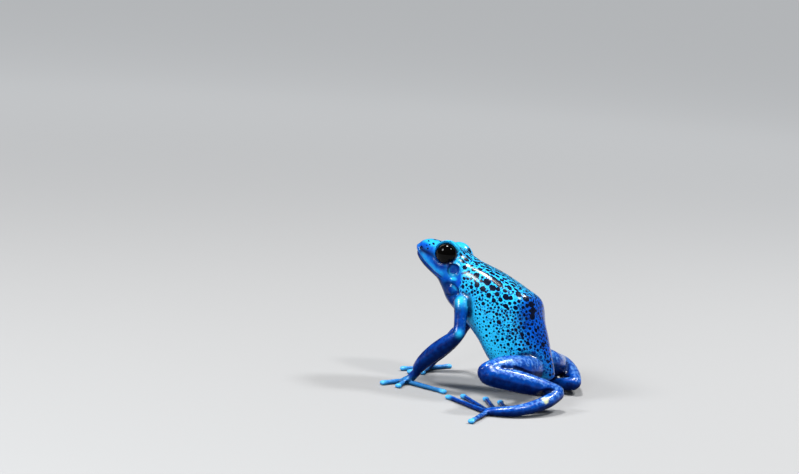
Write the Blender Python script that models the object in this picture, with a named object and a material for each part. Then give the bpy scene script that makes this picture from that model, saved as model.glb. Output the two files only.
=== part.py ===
# Blue poison dart frog, life size, sitting up on its hands and folded legs.
# +Z is up, the frog looks along -Y and its left side is at +X.
# The origin is the middle of the base of the box round the whole animal.

import math

import bmesh
import bpy
from mathutils import Matrix, Vector

SNOUT_VENT = 0.042          # snout to vent, the frog's body length
UNIT = SNOUT_VENT / 42      # every station below is in millimetres of a 42 mm frog
GAP = 0.3                   # clearance between nodes that meet
GROWTH = 0.324              # grown this far, a neighbour's flat facets still keep the gap
MERGE = 0.001               # points closer than this are one
BODY_SIDES = 30             # points round the body
LIMB_SIDES = 12             # points round an arm or leg
DIGIT_SIDES = 8             # points round a finger or toe

LEAN = 0.08                 # sideways lean to the frog's right for each unit of height
LEAN_LEVEL = 7.0            # height that the lean turns about
ROLL_REAR = 12.0            # degrees of roll at the hips
ROLL_HEAD = 10.5            # degrees of roll at the eyes
ROLL_SPAN = (-6.0, -26.0)   # where along Y the roll goes from one to the other
HEAD_TURN = 8.0             # degrees that the head is turned to its left
TURN_START = -20.0          # where along Y the turn begins
TURN_SPAN = 4.0             # and how far it takes to come on

EYE_RADIUS = 2.42
SOCKET_RADIUS = 2.7
LID_RADIUS = 3.05
EYE_CENTRE = (4.2, -26.3, 27.0)
EYE_AIM = (1.0, 0.02, 0.16)     # the way the left eye looks
APERTURE_RADIUS = 2.6
APERTURE_DEPTH = 0.75           # from the eye's centre to the rim of the lids
EAR_CENTRE = (6.0, -23.9, 23.85)
EAR_AIM = (1.0, 0.18, 0.02)
EAR_RADIUS = 1.2
EAR_THICKNESS = 0.6
EAR_RISE = 0.05                 # how far the eardrum stands out past its centre
NOSTRIL_CENTRE = (1.9, -33.4, 27.9)
NOSTRIL_RADIUS = 0.3
ROD_REACH = 4.0                 # how far the round cutters reach out past the skin

# Body from snout to vent: back point (y, z), belly point (y, z), half width,
# level of the widest place (0 belly, 1 back), squareness above and below it.
BODY = (
    (-34.15, 28.1, -34.10, 26.8, 1.5, 0.45, 2.2, 2.2),
    (-33.50, 29.0, -33.60, 25.8, 2.6, 0.42, 2.4, 2.2),
    (-32.40, 29.7, -32.50, 24.3, 3.5, 0.42, 2.7, 2.1),
    (-30.90, 29.95, -30.90, 23.0, 4.5, 0.44, 2.8, 2.0),
    (-29.10, 29.65, -29.40, 22.0, 5.4, 0.46, 2.7, 2.0),
    (-27.20, 29.1, -28.25, 21.15, 6.0, 0.46, 2.6, 2.1),
    (-24.80, 28.9, -27.50, 19.9, 6.3, 0.46, 2.5, 2.2),
    (-22.80, 27.8, -26.80, 18.6, 6.2, 0.48, 2.5, 2.2),
    (-20.80, 26.7, -26.20, 17.3, 6.2, 0.50, 2.6, 2.2),
    (-18.20, 25.9, -24.75, 15.9, 6.6, 0.50, 2.8, 2.2),
    (-15.20, 24.9, -22.55, 14.15, 7.1, 0.48, 3.0, 2.2),
    (-12.20, 23.6, -20.40, 12.5, 7.5, 0.46, 3.0, 2.2),
    (-9.40, 22.3, -18.60, 10.8, 7.7, 0.45, 3.0, 2.2),
    (-6.85, 21.1, -17.00, 8.9, 7.6, 0.45, 2.9, 2.2),
    (-5.70, 19.4, -15.40, 6.6, 7.3, 0.46, 2.7, 2.2),
    (-4.95, 16.8, -13.20, 4.6, 6.8, 0.47, 2.3, 2.2),
    (-3.85, 14.2, -10.40, 3.3, 6.0, 0.48, 2.2, 2.2),
    (-2.95, 11.8, -7.60, 2.9, 5.0, 0.50, 2.1, 2.1),
    (-2.00, 9.4, -5.00, 3.1, 3.8, 0.50, 2.0, 2.0),
    (-1.10, 7.2, -2.70, 3.7, 2.4, 0.50, 2.0, 2.0),
    (-0.60, 5.6, -1.10, 4.4, 1.1, 0.50, 2.0, 2.0),
)
SNOUT_TIP = (0.0, -34.35, 27.4)
VENT_TIP = (0.0, -0.3, 4.9)

# Side view (y, z) of the mouth line from in front of the lip to its corner,
# and of the creases that run on from there.
MOUTH_LINE = ((-38.0, 28.2), (-34.1, 27.2), (-32.8, 26.0), (-31.2, 24.6), (-28.6, 22.8), (-25.8, 21.6))
NECK_LINE = ((-21.9, 22.4), (-21.0, 25.0), (-20.4, 32.0))
THROAT_LINE = ((-26.6, 20.6), (-29.4, 17.4))
OUTSIDE = 12.0              # how far the parting prisms reach past the body
FRONT = -38.0               # and how far they reach ahead, behind, above and below
REAR = 8.0
ABOVE = 32.0
BELOW = -8.0

# Limb stations: place (x, y, z), then half breadth and half depth of the section.
UPPER_ARM = {
    "left": ((3.6, -21.2, 19.0, 2.0, 2.0), (6.2, -20.1, 18.4, 1.8, 1.85), (7.6, -19.5, 15.8, 1.4, 1.45),
             (8.6, -19.1, 13.6, 1.3, 1.35), (9.2, -18.95, 12.4, 1.42, 1.42)),
    "right": ((-5.6, -21.6, 18.2, 2.0, 2.0), (-8.2, -22.2, 17.0, 1.85, 1.9), (-9.6, -24.3, 14.0, 1.45, 1.5),
              (-10.6, -26.5, 11.2, 1.35, 1.4), (-10.9, -27.4, 10.0, 1.45, 1.45)),
}
FOREARM = {
    "left": ((9.3, -19.05, 12.2, 1.42, 1.42), (9.3, -21.3, 10.2, 1.8, 1.8), (9.15, -24.0, 7.9, 1.95, 1.85),
             (8.85, -26.6, 5.4, 1.7, 1.6), (8.6, -28.3, 3.2, 1.3, 1.2)),
    "right": ((-10.9, -27.6, 9.8, 1.45, 1.45), (-10.1, -28.5, 8.2, 1.75, 1.75), (-8.9, -29.6, 6.2, 1.8, 1.7),
              (-7.5, -30.8, 4.2, 1.45, 1.4), (-6.6, -31.6, 2.9, 1.15, 1.1)),
}
HAND = {
    "left": ((8.6, -28.0, 3.2, 1.1, 1.05), (8.55, -28.9, 2.0, 1.25, 0.95), (8.6, -29.8, 1.1, 1.7, 0.9),
             (8.8, -30.8, 0.64, 1.6, 0.8)),
    "right": ((-6.7, -31.5, 3.1, 1.1, 1.05), (-6.0, -32.2, 1.9, 1.25, 0.95), (-5.3, -32.9, 1.05, 1.7, 0.9),
              (-4.7, -33.4, 0.64, 1.6, 0.8)),
}
# Fingers from the inner one out: root (x, y) on the hand, tip (x, y).
FINGERS = {
    "left": (((7.9, -30.4), (3.9, -31.9)), ((8.9, -30.9), (13.8, -33.4)),
             ((9.4, -30.4), (13.9, -29.6)), ((9.3, -29.6), (11.7, -20.0))),
    "right": (((-4.9, -32.8), (-1.6, -31.9)), ((-4.4, -33.4), (-0.3, -34.3)),
              ((-4.8, -33.8), (-2.0, -37.0)), ((-5.6, -33.2), (-12.1, -30.7))),
}
THIGH = {
    "left": ((1.0, -5.4, 6.8, 2.6, 2.6), (4.8, -4.2, 6.7, 3.0, 2.9), (9.3, -4.2, 7.6, 2.9, 2.8),
             (14.0, -5.5, 8.2, 2.75, 2.7), (17.5, -6.45, 8.1, 2.45, 2.4), (19.4, -6.95, 7.9, 2.2, 2.2)),
    "right": ((-2.4, -5.6, 7.4, 2.6, 2.6), (-6.0, -4.9, 6.5, 3.0, 2.9), (-10.2, -5.3, 5.2, 2.8, 2.65),
              (-14.6, -6.6, 4.4, 2.6, 2.5), (-18.2, -7.8, 3.9, 2.3, 2.25), (-20.1, -8.4, 3.75, 2.05, 2.05)),
}
SHANK = {
    "left": ((19.4, -6.65, 7.5, 2.2, 2.2), (17.5, -4.9, 6.9, 2.45, 2.35), (14.5, -1.9, 6.0, 2.5, 2.35),
             (11.3, 1.4, 4.9, 2.1, 2.0), (9.2, 3.4, 4.1, 1.7, 1.7), (8.5, 4.0, 3.8, 1.6, 1.6)),
    "right": ((-20.1, -8.1, 3.75, 1.85, 1.85), (-18.0, -6.4, 3.6, 2.2, 2.1), (-14.9, -3.9, 3.3, 2.3, 2.15),
              (-11.6, -1.4, 3.0, 1.95, 1.9), (-9.2, 0.1, 2.7, 1.65, 1.6), (-8.4, 0.5, 2.55, 1.55, 1.5)),
}
FOOT = {
    "left": ((8.6, 4.1, 3.6, 1.5, 1.5), (12.6, 3.9, 2.7, 1.4, 1.45), (17.0, 2.3, 1.85, 1.3, 1.3),
             (20.3, -0.2, 1.25, 1.3, 1.15), (21.8, -3.2, 0.95, 1.45, 0.95), (22.2, -5.2, 0.66, 1.35, 0.8)),
    "right": ((-8.3, 0.6, 2.4, 1.45, 1.45), (-7.7, -2.6, 1.9, 1.35, 1.35), (-7.8, -5.8, 1.4, 1.25, 1.2),
              (-8.2, -8.6, 1.1, 1.3, 1.1), (-8.8, -11.0, 0.9, 1.45, 0.92), (-9.3, -12.6, 0.66, 1.35, 0.8)),
}
# Toes from the inner one out: root (x, y) on the foot, tip (x, y).
TOES = {
    "left": (((19.6, -1.7), (11.8, -7.0)), ((20.9, -3.6), (11.2, -10.6)), ((21.8, -5.0), (12.4, -15.2)),
             ((22.2, -5.4), (15.4, -17.2)), ((22.5, -4.9), (31.6, -4.0))),
    "right": (((-7.8, -9.2), (-4.4, -13.4)), ((-8.4, -11.4), (-5.6, -17.8)), ((-9.1, -12.5), (-9.4, -21.4)),
              ((-9.6, -12.6), (-14.4, -23.2)), ((-9.6, -12.0), (-17.6, -15.4))),
}
DIGIT_HEIGHT = 0.48         # height of a digit's middle, a little under its half depth
FINGER = (0.62, 0.55, 0.85)     # half breadth at root and middle, and at the disc
TOE = (0.66, 0.56, 0.82)
DISC_DEPTH = 0.55           # half depth of the disc at a digit's tip
ROOT_RISE = 0.1             # how much higher a digit starts than it ends
DIGIT_SHAPE = (0.35, 0.7, 0.88)     # where along a digit it is thinnest and the disc begins
DIGIT_WAIST = 0.93          # its breadth there, as a share of its middle's
CAP = ((0.45, 0.88), (0.85, 0.5))   # a limb's rounded end: reach and size of its rings
SHARP_EDGE = 40.0           # degrees from which an edge shows as an edge

PARTS = bpy.data.collections.new("blue_poison_dart_frog")
CUTTERS = bpy.data.collections.new("cutters")
AZURE = (0.02, 0.30, 0.85)
COBALT = (0.02, 0.06, 0.55)
PALE = (0.10, 0.45, 0.85)
BLACK = (0.005, 0.005, 0.007)


def smooth_rows(rows, steps):
    # Rows of numbers on a smooth curve through the given rows, steps to a span.
    rows = [rows[0]] + list(rows) + [rows[-1]]
    curve = []
    for i in range(len(rows) - 3):
        for k in range(steps):
            t = k / steps
            weights = (-t + 2 * t**2 - t**3, 2 - 5 * t**2 + 3 * t**3, t + 4 * t**2 - 3 * t**3, t**3 - t**2)
            near = rows[i:i + 4]
            curve.append([sum(w * value for w, value in zip(weights, values)) / 2 for values in zip(*near)])
    curve.append(list(rows[-1]))
    return curve


def power(value, exponent):
    # A signed power, which squares off a circle.
    return math.copysign(abs(value) ** exponent, value)


def body_ring(row):
    # One cross-section of the body, wider and squarer where its row says so.
    back = Vector((0, row[0], row[1]))
    belly = Vector((0, row[2], row[3]))
    half, widest, upper, lower = row[4:]
    up = back - belly
    ring = []
    for k in range(BODY_SIDES):
        angle = 2 * math.pi * k / BODY_SIDES
        above = math.sin(angle) >= 0
        exponent = 2 / (upper if above else lower)
        rise = power(math.sin(angle), exponent) * ((1 - widest) if above else widest)
        side = Vector((half * power(math.cos(angle), exponent), 0, 0))
        ring.append(belly + up * (widest + rise) + side)
    return ring


def limb_rings(stations, sides, steps):
    # Rings along a limb, with a rounded cap at each end, and the two end points.
    rows = smooth_rows(stations, steps)
    points = [Vector(row[:3]) for row in rows]
    rings = []
    ends = []
    for i, row in enumerate(rows):
        before = points[max(i - 1, 0)]
        after = points[min(i + 1, len(points) - 1)]
        along = (after - before).normalized()
        side = along.cross(Vector((0, 0, 1))).normalized()
        up = side.cross(along)

        def ring(shift, scale, row=row, i=i, along=along, side=side, up=up):
            return [points[i] + along * shift + side * (row[3] * scale * math.cos(2 * math.pi * k / sides))
                    + up * (row[4] * scale * math.sin(2 * math.pi * k / sides)) for k in range(sides)]

        rise = min(row[3], row[4])
        if i == 0:
            ends.append(points[i] - along * rise)
            rings += [ring(-reach * rise, scale) for reach, scale in reversed(CAP)]
        rings.append(ring(0.0, 1.0))
        if i == len(rows) - 1:
            rings += [ring(reach * rise, scale) for reach, scale in CAP]
            ends.append(points[i] + along * rise)
    return rings, ends


def make_solid(name, rings, ends):
    # A closed body lofted through the rings, with a fan of triangles at each end.
    bm = bmesh.new()
    loops = [[bm.verts.new(point * UNIT) for point in ring] for ring in rings]
    poles = [bm.verts.new(Vector(end) * UNIT) for end in ends]
    for near, far in zip(loops, loops[1:]):
        for k in range(len(near)):
            m = (k + 1) % len(near)
            bm.faces.new((near[k], near[m], far[m], far[k]))
    for loop, pole in ((loops[0], poles[0]), (loops[-1], poles[1])):
        for k in range(len(loop)):
            bm.faces.new((loop[k], loop[(k + 1) % len(loop)], pole))
    return finish_mesh(name, bm)


def finish_mesh(name, bm):
    # Turn the faces outwards and hang the mesh on a new object.
    bmesh.ops.recalc_face_normals(bm, faces=bm.faces)
    mesh = bpy.data.meshes.new(name)
    bm.to_mesh(mesh)
    bm.free()
    obj = bpy.data.objects.new(name, mesh)
    PARTS.objects.link(obj)
    return obj


def as_cutter(obj):
    # Keep a helper out of the parts.
    PARTS.objects.unlink(obj)
    CUTTERS.objects.link(obj)
    obj.hide_render = True
    obj.display_type = "WIRE"
    return obj


def make_ball(name, centre, radius, across=18, up=12):
    bm = bmesh.new()
    place = Matrix.Translation(Vector(centre) * UNIT)
    bmesh.ops.create_uvsphere(bm, u_segments=across, v_segments=up, radius=radius * UNIT, matrix=place)
    return finish_mesh(name, bm)


def make_rod(name, centre, aim, radius, start, end, segments=20):
    # A round rod along aim, from start to end past the centre.
    bm = bmesh.new()
    middle = Vector(centre) + Vector(aim).normalized() * ((start + end) / 2)
    turn = Vector((0, 0, 1)).rotation_difference(Vector(aim)).to_matrix().to_4x4()
    bmesh.ops.create_cone(bm, cap_ends=True, segments=segments, radius1=radius * UNIT, radius2=radius * UNIT,
                          depth=(end - start) * UNIT, matrix=Matrix.Translation(middle * UNIT) @ turn)
    return finish_mesh(name, bm)


def make_prism(name, outline):
    # An outline in the side view, run right through the body from side to side.
    bm = bmesh.new()
    face = bm.faces.new([bm.verts.new(Vector((-OUTSIDE, y, z)) * UNIT) for y, z in outline])
    sweep = bmesh.ops.extrude_face_region(bm, geom=[face])
    moved = [item for item in sweep["geom"] if isinstance(item, bmesh.types.BMVert)]
    bmesh.ops.translate(bm, verts=moved, vec=(2 * OUTSIDE * UNIT, 0, 0))
    return finish_mesh(name, bm)


def bake(obj):
    # Put the object's modifiers into its mesh.
    graph = bpy.context.evaluated_depsgraph_get()
    mesh = bpy.data.meshes.new_from_object(obj.evaluated_get(graph))
    obj.modifiers.clear()
    old = obj.data
    obj.data = mesh
    bpy.data.meshes.remove(old)


def keep_largest(obj):
    # Drop loose scraps and sealed hollows, and merge points that a cut left together.
    bm = bmesh.new()
    bm.from_mesh(obj.data)
    bmesh.ops.remove_doubles(bm, verts=bm.verts, dist=MERGE * UNIT)
    bmesh.ops.dissolve_degenerate(bm, edges=bm.edges, dist=MERGE * UNIT)
    bmesh.ops.triangulate(bm, faces=bm.faces)
    left = set(bm.verts)
    groups = []
    while left:
        seed = left.pop()
        group = {seed}
        border = [seed]
        while border:
            for edge in border.pop().link_edges:
                for vert in edge.verts:
                    if vert in left:
                        left.discard(vert)
                        group.add(vert)
                        border.append(vert)
        groups.append(group)
    groups.sort(key=lambda group: sum(face.calc_area() for vert in group for face in vert.link_faces))
    for group in groups[:-1]:
        bmesh.ops.delete(bm, geom=list(group), context="VERTS")
    bm.to_mesh(obj.data)
    bm.free()


def combine(obj, helper, operation):
    # One exact Boolean of the object with a helper.
    modifier = obj.modifiers.new("cut", "BOOLEAN")
    modifier.operation = operation
    modifier.solver = "EXACT"
    modifier.object = helper
    bake(obj)
    keep_largest(obj)
    bpy.data.objects.remove(helper)


def copy_of(obj, name):
    copy = bpy.data.objects.new(name, obj.data.copy())
    PARTS.objects.link(copy)
    return copy


def clear_of(obj, others):
    # Cut the object back so that it meets its neighbours face to face with a gap.
    for other in others:
        grown = as_cutter(copy_of(other, "grown"))
        displace = grown.modifiers.new("grow", "DISPLACE")
        displace.strength = GROWTH * UNIT
        displace.mid_level = 0.0
        bake(grown)
        combine(obj, grown, "DIFFERENCE")


def lean_and_roll(obj):
    # Roll the body about its own axis, turn the head and lean it all to the frog's right.
    for vert in obj.data.vertices:
        x, y, z = (value / UNIT for value in vert.co)
        share = min(max((y - ROLL_SPAN[0]) / (ROLL_SPAN[1] - ROLL_SPAN[0]), 0.0), 1.0)
        angle = math.radians(ROLL_REAR + (ROLL_HEAD - ROLL_REAR) * share)
        turn = math.radians(HEAD_TURN) * min(max((TURN_START - y) / TURN_SPAN, 0.0), 1.0)
        ahead = min(y - TURN_START, 0.0)
        rolled = Vector((x * math.cos(angle) - ahead * turn, y + x * turn, z + x * math.sin(angle)))
        vert.co = (rolled - Vector(((z - LEAN_LEVEL) * LEAN, 0, 0))) * UNIT


def mirrored(point, side):
    sign = 1 if side == "left" else -1
    return (point[0] * sign, point[1], point[2])


def build_body():
    # The whole trunk and head in one loft, then its eyes, ears, nostrils and mouth.
    rows = smooth_rows(BODY, 2)
    body = make_solid("body", [body_ring(row) for row in rows], (SNOUT_TIP, VENT_TIP))
    nodes = {}
    for side in ("left", "right"):
        centre = mirrored(EYE_CENTRE, side)
        aim = mirrored(EYE_AIM, side)
        combine(body, as_cutter(make_ball("lid", centre, LID_RADIUS, 22, 14)), "UNION")
        opening = make_rod("opening", centre, aim, APERTURE_RADIUS, APERTURE_DEPTH, ROD_REACH)
        combine(body, as_cutter(opening), "DIFFERENCE")
        combine(body, as_cutter(make_ball("socket", centre, SOCKET_RADIUS)), "DIFFERENCE")
        ear = mirrored(EAR_CENTRE, side)
        ear_aim = mirrored(EAR_AIM, side)
        recess = make_rod("recess", ear, ear_aim, EAR_RADIUS + GAP, -EAR_THICKNESS - GAP, ROD_REACH)
        combine(body, as_cutter(recess), "DIFFERENCE")
        nostril = as_cutter(make_ball("nostril", mirrored(NOSTRIL_CENTRE, side), NOSTRIL_RADIUS, 8, 6))
        combine(body, nostril, "DIFFERENCE")
        nodes[side + "_eye"] = make_ball(side + "_eye", centre, EYE_RADIUS, 20, 14)
        drum = make_rod(side + "_tympanum", ear, ear_aim, EAR_RADIUS, -EAR_THICKNESS, EAR_RISE)
        nodes[side + "_tympanum"] = drum
    nodes.update(part_body(body))
    for node in nodes.values():
        lean_and_roll(node)
    return nodes


def shifted(points, distance):
    # A side-view line moved square to itself by a distance, to its left hand side.
    moved = []
    for i, (y, z) in enumerate(points):
        ahead = points[min(i + 1, len(points) - 1)]
        behind = points[max(i - 1, 0)]
        dy, dz = ahead[0] - behind[0], ahead[1] - behind[1]
        length = math.hypot(dy, dz)
        moved.append((y - dz / length * distance, z + dy / length * distance))
    return moved


def part_body(body):
    # Part the loft with thin cuts into head, lower jaw and torso.
    above = shifted(MOUTH_LINE + NECK_LINE, GAP / 2)
    below = shifted(MOUTH_LINE + THROAT_LINE, -GAP / 2)
    behind = shifted(THROAT_LINE[::-1] + MOUTH_LINE[-1:] + NECK_LINE, -GAP / 2)
    outlines = {
        "head": above + [(FRONT, ABOVE)],
        "lower_jaw": below + [(FRONT, THROAT_LINE[-1][1])],
        "torso": behind + [(REAR, ABOVE), (REAR, BELOW), (THROAT_LINE[-1][0], BELOW)],
    }
    pieces = {}
    for name, outline in outlines.items():
        piece = copy_of(body, name)
        combine(piece, as_cutter(make_prism("parting", outline)), "INTERSECT")
        pieces[name] = piece
    bpy.data.objects.remove(body)
    return pieces


def build_limb(name, stations, sides=LIMB_SIDES, steps=2):
    rings, ends = limb_rings(stations, sides, steps)
    return make_solid(name, rings, ends)


def build_digit(name, root, tip, sizes):
    # A finger or toe that rises a little in its middle and ends in a flat disc.
    start = Vector((root[0], root[1], DIGIT_HEIGHT + ROOT_RISE))
    end = Vector((tip[0], tip[1], DIGIT_HEIGHT))
    along = end - start
    thick, middle, disc = sizes
    waist = middle * DIGIT_WAIST
    breadths = (thick, middle, waist, waist, disc)
    depths = (thick, middle, waist, DISC_DEPTH, DISC_DEPTH)
    stations = []
    for share, breadth, depth in zip((0.0, *DIGIT_SHAPE, 1.0), breadths, depths):
        stations.append((*(start + along * share), breadth, depth))
    return build_limb(name, stations, DIGIT_SIDES, 1)


def trim(obj, point, outward):
    # Cut off what lies past a plane, and close the cut.
    bm = bmesh.new()
    bm.from_mesh(obj.data)
    cut = bmesh.ops.bisect_plane(bm, geom=bm.verts[:] + bm.edges[:] + bm.faces[:], dist=MERGE * UNIT,
                                 plane_co=point * UNIT, plane_no=outward, clear_outer=True)
    rim = [item for item in cut["geom_cut"] if isinstance(item, bmesh.types.BMEdge)]
    bmesh.ops.holes_fill(bm, edges=rim, sides=0)
    bmesh.ops.recalc_face_normals(bm, faces=bm.faces)
    bm.to_mesh(obj.data)
    bm.free()
    keep_largest(obj)


def mitre(first, second, first_stations, second_stations):
    # Part two pieces of a limb at their joint, halfway between their directions.
    joint = (Vector(first_stations[-1][:3]) + Vector(second_stations[0][:3])) / 2
    toward_first = (Vector(first_stations[-3][:3]) - joint).normalized()
    toward_second = (Vector(second_stations[2][:3]) - joint).normalized()
    across = (toward_first - toward_second).normalized()
    trim(first, joint + across * (GAP / 2), -across)
    trim(second, joint - across * (GAP / 2), across)


def stand_on_floor(obj):
    # Trim whatever presses on the floor to a small flat at its level.
    trim(obj, Vector((0, 0, 0)), Vector((0, 0, -1)))


def build_side(side, nodes):
    # One arm and one leg, each piece cut clear of those that carry it.
    here = side + "_"
    chains = ((("upper_arm", UPPER_ARM), ("forearm", FOREARM), ("hand", HAND)),
              (("thigh", THIGH), ("shank", SHANK), ("foot", FOOT)))
    for chain in chains:
        for name, stations in chain:
            nodes[here + name] = build_limb(here + name, stations[side])
        for (near, near_stations), (far, far_stations) in zip(chain, chain[1:]):
            mitre(nodes[here + near], nodes[here + far], near_stations[side], far_stations[side])
    clear_of(nodes[here + "upper_arm"], [nodes["torso"], nodes["head"], nodes["lower_jaw"]])
    clear_of(nodes[here + "thigh"], [nodes["torso"]])
    clear_of(nodes[here + "shank"], [nodes["torso"]])
    clear_of(nodes[here + "foot"], [nodes[here + "thigh"], nodes[here + "shank"], nodes["torso"]])
    for base, digit, places, sizes in (("hand", "finger", FINGERS, FINGER), ("foot", "toe", TOES, TOE)):
        placed = [nodes[here + base]]
        for number, (root, tip) in enumerate(places[side], 1):
            name = "%s%s_%d" % (here, digit, number)
            nodes[name] = build_digit(name, root, tip, sizes)
            placed.append(nodes[name])
        whole = [copy_of(node, "whole") for node in placed]
        for number, node in enumerate(placed):
            clear_of(node, whole[:number])
            stand_on_floor(node)
        for node in whole:
            bpy.data.objects.remove(node)


def paint(obj, colour, roughness):
    material = bpy.data.materials.new(obj.name)
    material.use_nodes = True
    shader = material.node_tree.nodes["Principled BSDF"]
    shader.inputs["Base Color"].default_value = (*colour, 1.0)
    shader.inputs["Roughness"].default_value = roughness
    shader.inputs["Metallic"].default_value = 0.0
    obj.data.materials.clear()
    obj.data.materials.append(material)
    obj.data.shade_smooth()
    obj.data.set_sharp_from_angle(angle=math.radians(SHARP_EDGE))


def centre_on_origin(nodes):
    # Put the middle of the base of the whole box at the origin.
    points = [vert.co for node in nodes for vert in node.data.vertices]
    low = Vector([min(point[axis] for point in points) for axis in range(3)])
    high = Vector([max(point[axis] for point in points) for axis in range(3)])
    shift = Matrix.Translation(-Vector(((low.x + high.x) / 2, (low.y + high.y) / 2, low.z)))
    for node in nodes:
        node.data.transform(shift)


def main():
    for obj in list(bpy.data.objects):
        bpy.data.objects.remove(obj)
    for collection in (PARTS, CUTTERS):
        bpy.context.scene.collection.children.link(collection)
    nodes = build_body()
    for side in ("left", "right"):
        build_side(side, nodes)
    centre_on_origin(list(nodes.values()))
    for name, node in nodes.items():
        node.name = name
        if "eye" in name:
            paint(node, BLACK, 0.08)
        elif "finger" in name or "toe" in name:
            paint(node, PALE, 0.3)
        elif name in ("head", "lower_jaw", "torso"):
            paint(node, AZURE, 0.3)
        else:
            paint(node, COBALT, 0.3)


main()
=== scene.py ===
import math
import random

import bmesh
import bpy
import numpy as np
from mathutils import Matrix, Quaternion, Vector
from mathutils.bvhtree import BVHTree


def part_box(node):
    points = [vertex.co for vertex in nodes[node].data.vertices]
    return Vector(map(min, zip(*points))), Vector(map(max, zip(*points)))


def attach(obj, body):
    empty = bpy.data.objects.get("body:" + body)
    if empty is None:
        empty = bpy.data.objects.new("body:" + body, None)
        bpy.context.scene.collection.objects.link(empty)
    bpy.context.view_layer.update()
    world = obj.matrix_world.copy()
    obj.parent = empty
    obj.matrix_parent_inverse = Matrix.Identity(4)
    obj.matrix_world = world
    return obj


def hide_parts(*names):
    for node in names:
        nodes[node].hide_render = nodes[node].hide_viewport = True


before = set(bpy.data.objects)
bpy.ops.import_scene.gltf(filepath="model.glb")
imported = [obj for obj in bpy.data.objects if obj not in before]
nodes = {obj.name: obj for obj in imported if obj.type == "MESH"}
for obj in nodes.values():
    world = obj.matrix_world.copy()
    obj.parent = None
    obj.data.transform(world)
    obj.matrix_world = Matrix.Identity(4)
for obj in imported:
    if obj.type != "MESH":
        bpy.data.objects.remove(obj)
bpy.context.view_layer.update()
mm = 0.001
print("frame loaded,", len(nodes), "nodes")


# Camera first, since the spots are set where the photo shows them.
cameraFacts = {
    "aim": (-4.60, 16.34, 5.0),     # the vent, in mm
    "aimPixel": (557, 378),         # where the photo shows it
    "azimuth": 113,
    "elevation": 12,
    "roll": 5,
    "distance": 500,                # mm from the aim
    "focalPixels": 2400,
    "imageSize": (799, 474),
    "sensor": 36,
}


def makeCamera():
    facts = cameraFacts
    width, height = facts["imageSize"]
    azimuth, elevation = math.radians(facts["azimuth"]), math.radians(facts["elevation"])
    back = Vector((math.sin(azimuth) * math.cos(elevation), -math.cos(azimuth) * math.cos(elevation),
                   math.sin(elevation)))
    level = (-back).to_track_quat("-Z", "Y") @ Quaternion((0, 0, 1), math.radians(facts["roll"]))
    across, down = facts["aimPixel"]
    sight = Vector((across - width / 2, height / 2 - down, -facts["focalPixels"]))
    turn = sight.rotation_difference(Vector((0, 0, -1)))
    data = bpy.data.cameras.new("camera")
    data.sensor_width = facts["sensor"]
    data.lens = facts["sensor"] * facts["focalPixels"] / width
    data.clip_start, data.clip_end = 0.01, 20
    camera = bpy.data.objects.new("camera", data)
    camera.rotation_mode = "QUATERNION"
    camera.location = (Vector(facts["aim"]) + back * facts["distance"]) * mm
    camera.rotation_quaternion = level @ turn
    bpy.context.scene.collection.objects.link(camera)
    bpy.context.scene.camera = camera
    return camera


def pixelRay(pixel):
    # The way from the camera through a pixel of the photo.
    width, height = cameraFacts["imageSize"]
    sight = Vector((pixel[0] - width / 2, height / 2 - pixel[1], -cameraFacts["focalPixels"]))
    return (camera.rotation_quaternion @ sight).normalized()


camera = makeCamera()
print("camera set")


# Small helpers for meshes and points.
def mergedCopy(name, grow=0.0):
    # A closed copy of a node's mesh, grown outwards a little.
    bm = bmesh.new()
    bm.from_mesh(nodes[name].data)
    bmesh.ops.remove_doubles(bm, verts=bm.verts, dist=0.000002)
    bm.normal_update()
    for vert in bm.verts:
        vert.co += vert.normal * grow
    return bm


def surfaceTree(mesh):
    bm = bmesh.new()
    bm.from_mesh(mesh)
    tree = BVHTree.FromBMesh(bm)
    bm.free()
    return tree


def castPixel(tree, pixel):
    # Where the photo's pixel lies on a surface: place and reach in mm, and the way there.
    way = pixelRay(pixel)
    place, normal, index, reach = tree.ray_cast(camera.location, way)
    return (np.array(place) / mm, np.array(way), reach / mm) if place else None


def smoothStep(values, low, high):
    share = np.clip((values - low) / (high - low), 0, 1)
    return share * share * (3 - 2 * share)


def bell(values, width):
    return np.exp(-(values / width) ** 2)


def alongLine(points, line):
    # How far each point is from a line of several stretches, and its share along it.
    best = np.full(len(points), 1e9)
    share = np.zeros(len(points))
    count = len(line) - 1
    for k in range(count):
        start, end = np.array(line[k]), np.array(line[k + 1])
        run = end - start
        along = np.clip(((points - start) @ run) / (run @ run), 0, 1)
        apart = np.linalg.norm(points - start - along[:, None] * run, axis=1)
        nearer = apart < best
        best[nearer] = apart[nearer]
        share[nearer] = ((k + along) / count)[nearer]
    return best, share


def readPoints(mesh):
    points = np.zeros(len(mesh.vertices) * 3)
    mesh.vertices.foreach_get("co", points)
    return points.reshape(-1, 3)


def readNormals(mesh):
    normals = np.zeros(len(mesh.vertices) * 3)
    mesh.vertex_normals.foreach_get("vector", normals)
    return normals.reshape(-1, 3)


def writePoints(mesh, points):
    mesh.vertices.foreach_set("co", points.astype(np.float32).ravel())
    mesh.update()


def writeValue(mesh, name, values):
    attribute = mesh.attributes.new(name, "FLOAT", "POINT")
    attribute.data.foreach_set("value", values.astype(np.float32))


def readValue(mesh, name):
    values = np.zeros(len(mesh.vertices))
    mesh.attributes[name].data.foreach_get("value", values)
    return values


def applyModifiers(piece):
    graph = bpy.context.evaluated_depsgraph_get()
    mesh = bpy.data.meshes.new_from_object(piece.evaluated_get(graph))
    piece.modifiers.clear()
    old = piece.data
    piece.data = mesh
    bpy.data.meshes.remove(old)
    return mesh


# The head's own axes, from its eyes: across to its left, forward and up.
def middleOf(name):
    low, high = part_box(name)
    return (low + high) / 2


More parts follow.
